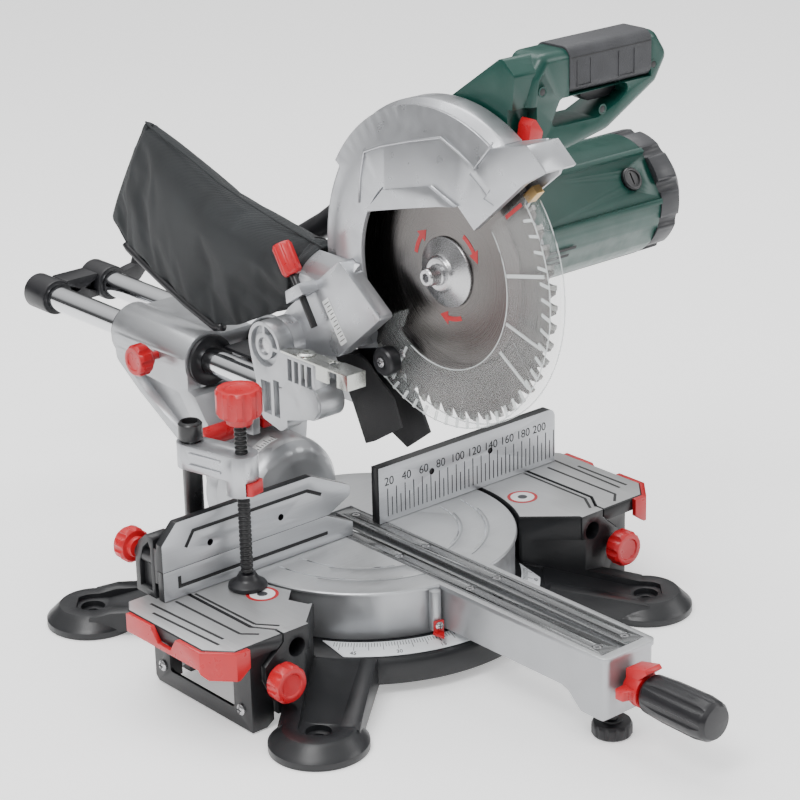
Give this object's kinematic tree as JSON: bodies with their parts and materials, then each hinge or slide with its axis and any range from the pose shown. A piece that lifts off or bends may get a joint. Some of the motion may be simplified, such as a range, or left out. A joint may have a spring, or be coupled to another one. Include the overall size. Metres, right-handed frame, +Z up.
{
  "type": "sliding compound mitre saw",
  "caption": "Bench mitre saw with sliding rails, tilting head, fence, extension tables, hold-down clamp, blade guards and dust bag.",
  "frame": {"origin": "on the bench, on the turntable's turning axis, which is also the centre of the four bench bolt holes", "axes": "+X to the operator's right, -Y towards the operator (front handle), +Z up; the blade's plane is X = 0"},
  "size_m": [0.5235, 0.891, 0.538],
  "materials": {
    "black_casting": "black satin powder coat",
    "scale_plate": "pale printed strip",
    "machined_aluminium": "machined, brushed",
    "cast_aluminium": "cast, silver lacquer",
    "silver_paint": "satin silver paint",
    "steel": "turned",
    "black_steel": "blackened steel",
    "blade_steel": "brushed steel",
    "zinc_steel": "zinc plated",
    "chrome": "polished",
    "red_plastic": "satin red plastic",
    "black_plastic": "fine texture",
    "grey_plastic": "fine texture",
    "green_plastic": "fine texture",
    "grey_rubber": "soft grip",
    "black_rubber": "matte",
    "black_fabric": "woven nylon",
    "clear_plastic": "clear"
  },
  "bodies": {
    "base": {"base_casting": "black_casting", "mitre_scale_ring": "scale_plate", "left_fence_base": "machined_aluminium", "right_fence": "machined_aluminium", "fence_bracket": "black_casting"},
    "left_extension": {"left_extension_table": "black_casting", "left_extension_rods": "steel", "left_bumper": "red_plastic"},
    "right_extension": {"right_extension_table": "black_casting", "right_extension_rods": "steel", "right_bumper": "red_plastic"},
    "left_extension_lock": {"left_extension_knob": "red_plastic"},
    "right_extension_lock": {"right_extension_knob": "red_plastic"},
    "fence_slide": {"left_fence_slide": "machined_aluminium"},
    "fence_lock": {"fence_lock_knob": "red_plastic"},
    "clamp": {"clamp_post": "black_steel", "clamp_arm": "silver_paint"},
    "clamp_button": {"clamp_release_button": "red_plastic"},
    "clamp_foot": {"clamp_pad": "black_plastic"},
    "clamp_screw": {"clamp_spindle": "black_steel", "clamp_knob": "red_plastic"},
    "table": {"turntable": "cast_aluminium", "kerf_plates": "machined_aluminium", "kerf_plate_screws": "steel"},
    "arm_foot": {"levelling_foot": "black_plastic"},
    "mitre_grip": {"mitre_handle": "black_plastic"},
    "mitre_lever": {"mitre_release_lever": "red_plastic"},
    "tilt": {"bevel_arm": "cast_aluminium", "linear_bearings": "black_plastic", "bevel_bolt": "steel"},
    "slide_lock": {"slide_lock_knob": "red_plastic"},
    "bevel_lever": {"bevel_lock_lever": "red_plastic"},
    "carriage": {"slide_rails": "chrome", "rail_front_bracket": "cast_aluminium", "rail_rear_bracket": "black_plastic", "pivot_shaft": "steel", "return_spring": "steel"},
    "stop": {"stop_plate": "zinc_steel"},
    "head": {"head_arm": "silver_paint", "upper_guard": "silver_paint", "gearbox_housing": "silver_paint", "motor_housing": "green_plastic", "motor_end_cap": "grey_plastic", "brush_caps": "black_plastic", "handle_shell": "green_plastic", "handle_grip": "grey_rubber", "carry_handle": "black_plastic", "dust_bag": "black_fabric", "dust_chute": "black_rubber"},
    "trigger": {"trigger": "black_plastic"},
    "lock_off": {"lock_off_lever": "red_plastic"},
    "depth_stop": {"depth_stop_screw": "black_steel", "depth_stop_knob": "red_plastic"},
    "blade": {"saw_blade": "blade_steel", "blade_flanges": "steel", "arbor_spindle": "steel", "arbor_bolt": "steel"},
    "cover": {"lower_guard": "clear_plastic", "guard_knob": "black_plastic"},
    "armature": {"motor_rotor": "steel"}
  },
  "joints": [
    {"name": "left_extension_slide", "type": "slide", "parent": "base", "child": "left_extension", "axis": [-1, 0, 0], "range_m": [0, 0.1]},
    {"name": "right_extension_slide", "type": "slide", "parent": "base", "child": "right_extension", "axis": [1, 0, 0], "range_m": [0, 0.1]},
    {"name": "left_extension_lock_turn", "type": "hinge", "parent": "base", "child": "left_extension_lock", "pos_m": [-0.195, -0.116, 0.047], "axis": [0, -1, 0], "range_deg": [-180, 180]},
    {"name": "right_extension_lock_turn", "type": "hinge", "parent": "base", "child": "right_extension_lock", "pos_m": [0.195, -0.116, 0.047], "axis": [0, -1, 0], "range_deg": [-180, 180]},
    {"name": "fence_slide_shift", "type": "slide", "parent": "base", "child": "fence_slide", "axis": [-1, 0, 0], "range_m": [0, 0.07]},
    {"name": "fence_lock_turn", "type": "hinge", "parent": "base", "child": "fence_lock", "pos_m": [-0.214, 0.046, 0.117], "axis": [0, 1, 0], "range_deg": [-180, 180]},
    {"name": "clamp_swing", "type": "hinge", "parent": "base", "child": "clamp", "pos_m": [-0.165, 0.03, 0.1], "axis": [0, 0, 1], "range_deg": [-40, 10]},
    {"name": "clamp_button_press", "type": "slide", "parent": "clamp", "child": "clamp_button", "axis": [-0.26, 0.9656, 0], "range_m": [0, 0.004], "stiffness_N_per_m": 400, "springref_m": -0.004},
    {"name": "clamp_feed", "type": "slide", "parent": "clamp", "child": "clamp_foot", "axis": [0, 0, 1], "range_m": [0, 0.04]},
    {"name": "clamp_screw_turn", "type": "hinge", "parent": "clamp_foot", "child": "clamp_screw", "pos_m": [-0.151, -0.022, 0.1], "axis": [0, 0, 1], "range_deg": [0, 3600]},
    {"name": "mitre_turn", "type": "hinge", "parent": "base", "child": "table", "pos_m": [0, 0, 0.083], "axis": [0, 0, 1], "range_deg": [-45, 45]},
    {"name": "arm_foot_feed", "type": "slide", "parent": "table", "child": "arm_foot", "axis": [0, 0, 1], "range_m": [0, 0.012]},
    {"name": "mitre_grip_turn", "type": "hinge", "parent": "table", "child": "mitre_grip", "pos_m": [0, -0.33, 0.053], "axis": [0, -1, 0], "range_deg": [-180, 180]},
    {"name": "mitre_lever_press", "type": "hinge", "parent": "table", "child": "mitre_lever", "pos_m": [0, -0.33, 0.053], "axis": [0, 1, 0], "range_deg": [0, 12], "stiffness_Nm_per_rad": 0.6, "springref_deg": -17.19},
    {"name": "bevel_tilt", "type": "hinge", "parent": "table", "child": "tilt", "pos_m": [0, 0.16, 0.083], "axis": [0, 1, 0], "range_deg": [-26, 2]},
    {"name": "slide_lock_turn", "type": "hinge", "parent": "tilt", "child": "slide_lock", "pos_m": [-0.068, 0.226, 0.206], "axis": [-1, 0, 0], "range_deg": [-180, 180]},
    {"name": "bevel_lever_turn", "type": "hinge", "parent": "tilt", "child": "bevel_lever", "pos_m": [0, 0.139, 0.152], "axis": [1, 0, 0], "range_deg": [-30, 30]},
    {"name": "carriage_slide", "type": "slide", "parent": "tilt", "child": "carriage", "axis": [0, -1, 0], "range_m": [-0.085, 0.12]},
    {"name": "stop_swing", "type": "hinge", "parent": "carriage", "child": "stop", "pos_m": [-0.0605, 0.001, 0.262], "axis": [0, 0, -1], "range_deg": [-18, 35]},
    {"name": "chop", "type": "hinge", "parent": "carriage", "child": "head", "pos_m": [0, 0.053, 0.26], "axis": [1, 0, 0], "range_deg": [0, 46], "stiffness_Nm_per_rad": 30, "springref_deg": -51.57},
    {"name": "trigger_pull", "type": "slide", "parent": "head", "child": "trigger", "axis": [0, 0, 1], "range_m": [0, 0.006], "stiffness_N_per_m": 500, "springref_m": -0.004},
    {"name": "lock_off_press", "type": "slide", "parent": "head", "child": "lock_off", "axis": [0, 1, 0], "range_m": [0, 0.004], "stiffness_N_per_m": 400, "springref_m": -0.004},
    {"name": "depth_stop_turn", "type": "hinge", "parent": "head", "child": "depth_stop", "pos_m": [-0.047, 0.025, 0.315], "axis": [0, 0.5408, 0.8412], "range_deg": [-360, 360]},
    {"name": "blade_spin", "type": "hinge", "parent": "head", "child": "blade", "pos_m": [0, -0.116, 0.352], "axis": [1, 0, 0], "continuous": true},
    {"name": "guard_swing", "type": "hinge", "parent": "head", "child": "cover", "pos_m": [0, -0.116, 0.352], "axis": [1, 0, 0], "range_deg": [-150, 0]},
    {"name": "armature_spin", "type": "hinge", "parent": "head", "child": "armature", "pos_m": [0, -0.083, 0.364], "axis": [1, 0, 0], "continuous": true}
  ],
  "couplings": [
    {"joint": "clamp_feed", "follows": "clamp_screw_turn", "m_per_rad": 0.00063661},
    {"joint": "guard_swing", "follows": "chop", "ratio": -3.25},
    {"joint": "blade_spin", "follows": "armature_spin", "ratio": -0.323}
  ]
}
